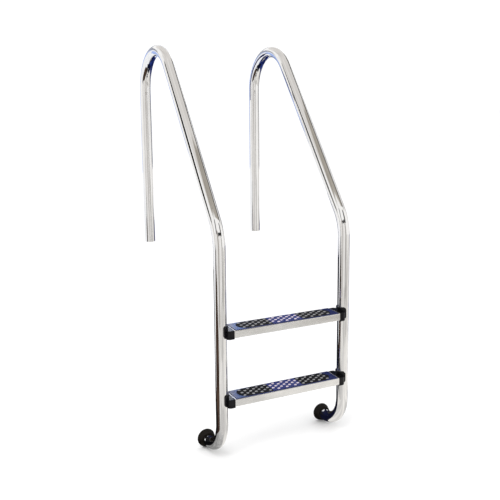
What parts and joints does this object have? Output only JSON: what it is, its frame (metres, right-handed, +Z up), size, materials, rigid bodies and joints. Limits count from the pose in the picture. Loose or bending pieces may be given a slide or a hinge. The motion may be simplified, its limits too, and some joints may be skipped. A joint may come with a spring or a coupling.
{
  "type": "pool ladder",
  "caption": "Stainless tube pool ladder: arched handrails with deck-anchor legs, steps with padded plastic treads, and rubber bumpers against the pool wall.",
  "frame": {"origin": "halfway between the lower ends of the two deck-anchor legs", "axes": "+X across the ladder from the left rail to the right one, +Y from the pool towards the deck, +Z up"},
  "size_m": [0.568, 0.7902, 1.4838],
  "materials": {
    "polished_steel": "mirror-polished stainless steel tube",
    "step_steel": "bright-rolled stainless sheet",
    "fastener_steel": "stainless steel fasteners",
    "tread_plastic": "glossy dark blue moulded plastic",
    "grip_plastic": "black moulded anti-slip plastic",
    "inlay_plastic": "blue moulded plastic with pale raised ovals",
    "cap_plastic": "black moulded plastic",
    "bumper_rubber": "black moulded rubber"
  },
  "bodies": {
    "root": {"rail_left": "polished_steel", "wall_bumper_left": "bumper_rubber", "rail_right": "polished_steel", "wall_bumper_right": "bumper_rubber", "upper_step_channel": "step_steel", "upper_tread_cover": "tread_plastic", "upper_centre_inlay": "inlay_plastic", "upper_grip_pad_left": "grip_plastic", "upper_end_cap_left": "cap_plastic", "upper_bolt_washer_left": "fastener_steel", "upper_step_bolt_left": "fastener_steel", "upper_threaded_insert_left": "fastener_steel", "upper_grip_pad_right": "grip_plastic", "upper_end_cap_right": "cap_plastic", "upper_bolt_washer_right": "fastener_steel", "upper_step_bolt_right": "fastener_steel", "upper_threaded_insert_right": "fastener_steel", "lower_step_channel": "step_steel", "lower_tread_cover": "tread_plastic", "lower_centre_inlay": "inlay_plastic", "lower_grip_pad_left": "grip_plastic", "lower_end_cap_left": "cap_plastic", "lower_bolt_washer_left": "fastener_steel", "lower_step_bolt_left": "fastener_steel", "lower_threaded_insert_left": "fastener_steel", "lower_grip_pad_right": "grip_plastic", "lower_end_cap_right": "cap_plastic", "lower_bolt_washer_right": "fastener_steel", "lower_step_bolt_right": "fastener_steel", "lower_threaded_insert_right": "fastener_steel"}
  },
  "joints": []
}
